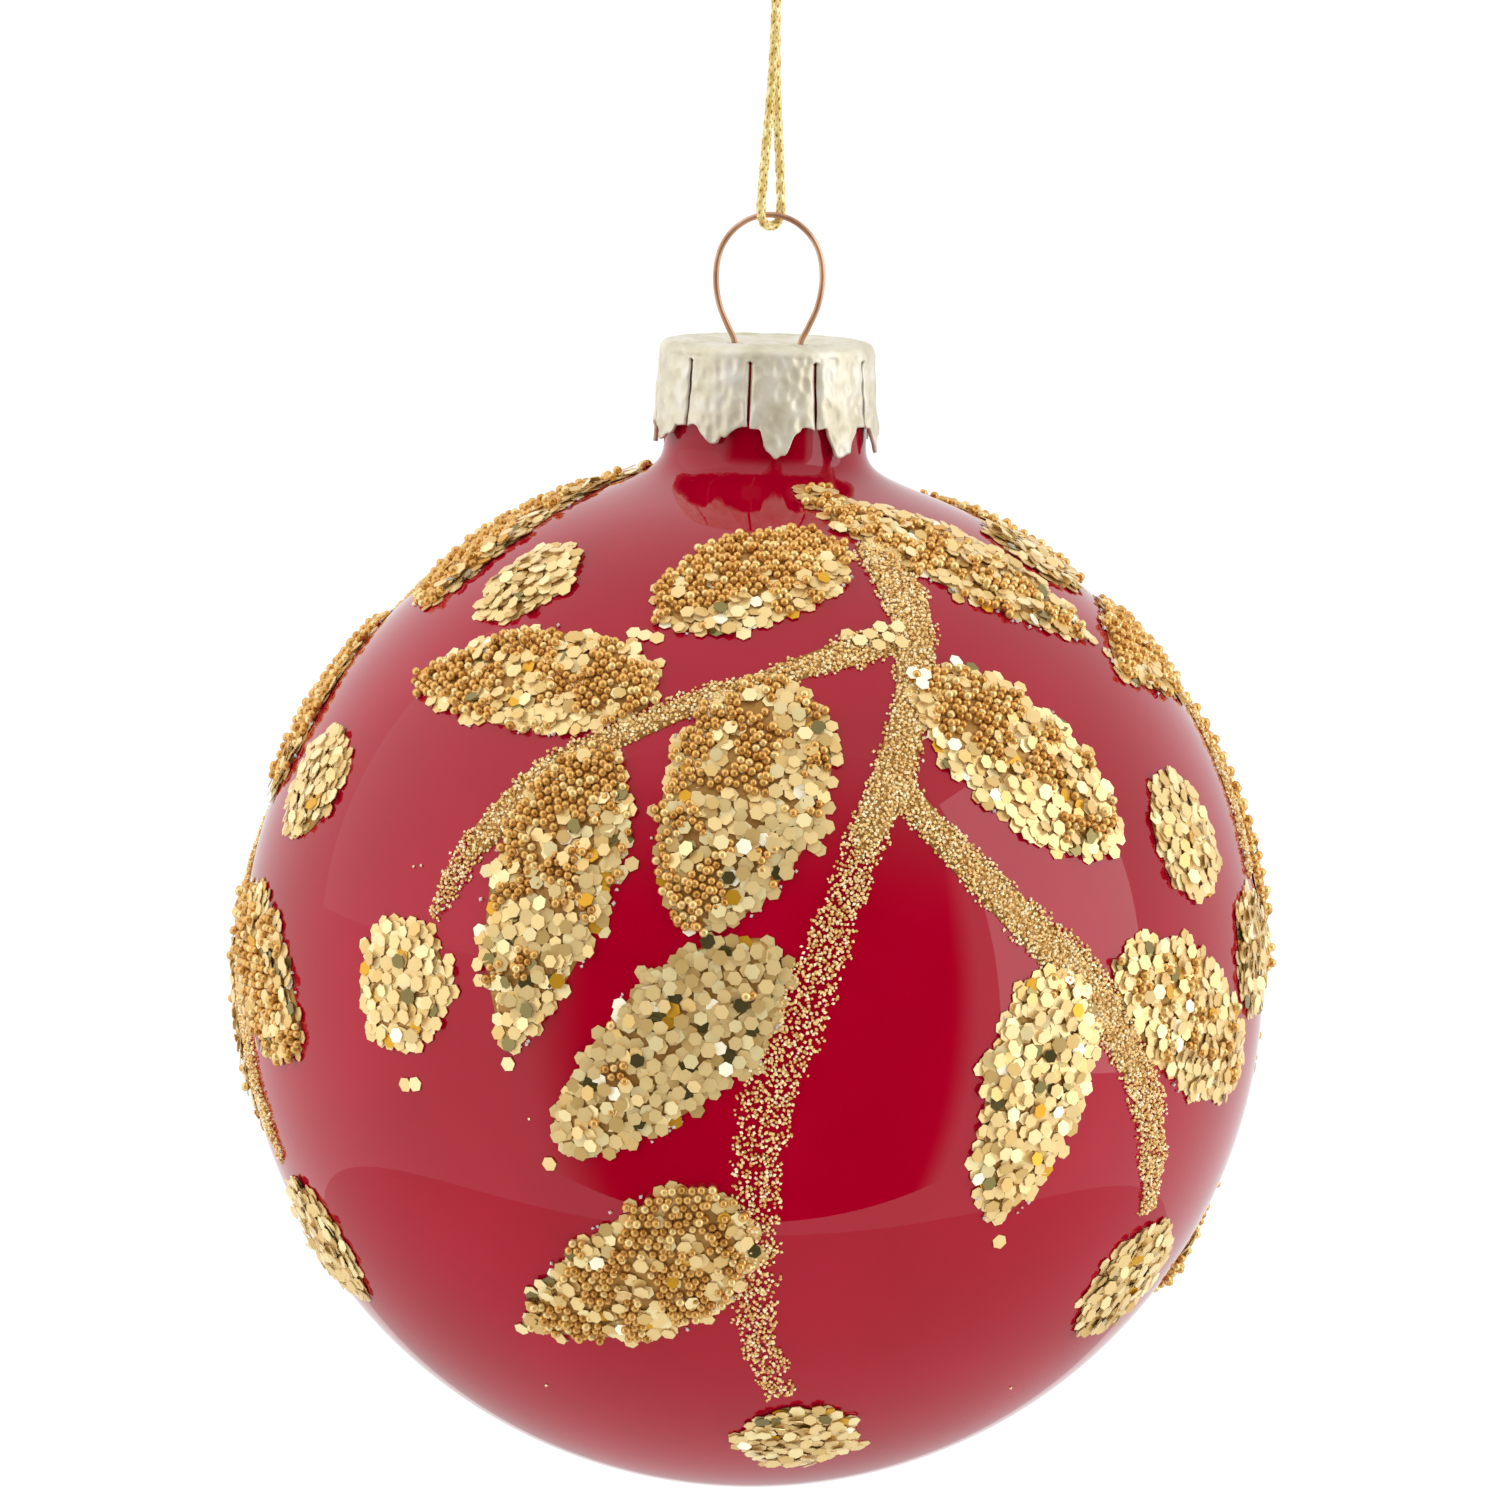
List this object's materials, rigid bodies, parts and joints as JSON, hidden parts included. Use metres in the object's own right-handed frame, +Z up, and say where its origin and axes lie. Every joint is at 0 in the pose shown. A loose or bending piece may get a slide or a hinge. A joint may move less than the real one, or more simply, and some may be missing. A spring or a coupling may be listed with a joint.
{
  "type": "glass ball ornament",
  "caption": "Hanging red glass ball ornament with gold glitter leaf sprigs, a crimped metal cap, a wire ring and a cord loop.",
  "frame": {"origin": "the cord's knot, which is the point that the ornament hangs from", "axes": "+Z up along the cord, through the ring, the cap and the ball's poles; -Y is the front, which shows one whole glitter sprig; the wire ring lies in the XZ plane"},
  "size_m": [0.0819, 0.0818, 0.1278],
  "materials": {
    "red_glass": "opaque pearl crimson lacquer, high gloss",
    "cap_metal": "hammered champagne tinplate, satin",
    "copper_wire": "bare copper-coloured spring wire",
    "gold_thread": "braided metallic thread",
    "hex_glitter": "pale gold hexagonal glitter in clear glue",
    "leaf_glitter": "gold hexagonal glitter and micro-beads in clear glue",
    "fine_glitter": "fine pale gold glitter in clear glue"
  },
  "bodies": {
    "knot": {"cord_knot": "gold_thread"},
    "cord": {"cord_loop": "gold_thread"},
    "hanger": {"hanger_wire": "copper_wire"},
    "cap": {"cap": "cap_metal"},
    "ball": {"glass_ball": "red_glass", "front_stem": "fine_glitter", "front_bud": "hex_glitter", "front_leaf_1": "leaf_glitter", "front_leaf_2": "leaf_glitter", "front_leaf_3": "leaf_glitter", "front_leaf_4": "leaf_glitter", "front_leaf_5": "leaf_glitter", "front_leaf_6": "leaf_glitter", "front_leaf_7": "leaf_glitter", "front_leaf_8": "leaf_glitter", "front_leaf_9": "leaf_glitter", "front_leaf_10": "leaf_glitter", "front_berry_1": "hex_glitter", "front_berry_2": "hex_glitter", "front_berry_3": "hex_glitter", "front_dot_1": "hex_glitter", "front_dot_2": "hex_glitter", "right_stem": "fine_glitter", "right_bud": "hex_glitter", "right_leaf_1": "leaf_glitter", "right_leaf_2": "leaf_glitter", "right_leaf_3": "leaf_glitter", "right_leaf_4": "leaf_glitter", "right_leaf_5": "leaf_glitter", "right_leaf_6": "leaf_glitter", "right_leaf_7": "leaf_glitter", "right_leaf_8": "leaf_glitter", "right_leaf_9": "leaf_glitter", "right_leaf_10": "leaf_glitter", "right_berry_1": "hex_glitter", "right_berry_2": "hex_glitter", "right_berry_3": "hex_glitter", "right_dot_1": "hex_glitter", "right_dot_2": "hex_glitter", "left_stem": "fine_glitter", "left_bud": "hex_glitter", "left_leaf_1": "leaf_glitter", "left_leaf_2": "leaf_glitter", "left_leaf_3": "leaf_glitter", "left_leaf_4": "leaf_glitter", "left_leaf_5": "leaf_glitter", "left_leaf_6": "leaf_glitter", "left_leaf_7": "leaf_glitter", "left_leaf_8": "leaf_glitter", "left_leaf_9": "leaf_glitter", "left_leaf_10": "leaf_glitter", "left_berry_1": "hex_glitter", "left_berry_2": "hex_glitter", "left_berry_3": "hex_glitter", "left_dot_1": "hex_glitter", "left_dot_2": "hex_glitter"}
  },
  "joints": [
    {"name": "cord_twist", "type": "hinge", "parent": "knot", "child": "cord", "pos_m": [0, 0, 0], "axis": [0, 0, 1], "continuous": true},
    {"name": "ring_swing", "type": "hinge", "parent": "cord", "child": "hanger", "pos_m": [0, 0, -0.023], "axis": [1, 0, 0], "range_deg": [-75, 75]},
    {"name": "hanger_slide", "type": "slide", "parent": "hanger", "child": "cap", "axis": [0, 0, -1], "range_m": [0, 0.0035]},
    {"name": "cap_lift", "type": "slide", "parent": "cap", "child": "ball", "axis": [0, 0, -1], "range_m": [0, 0.025]}
  ]
}
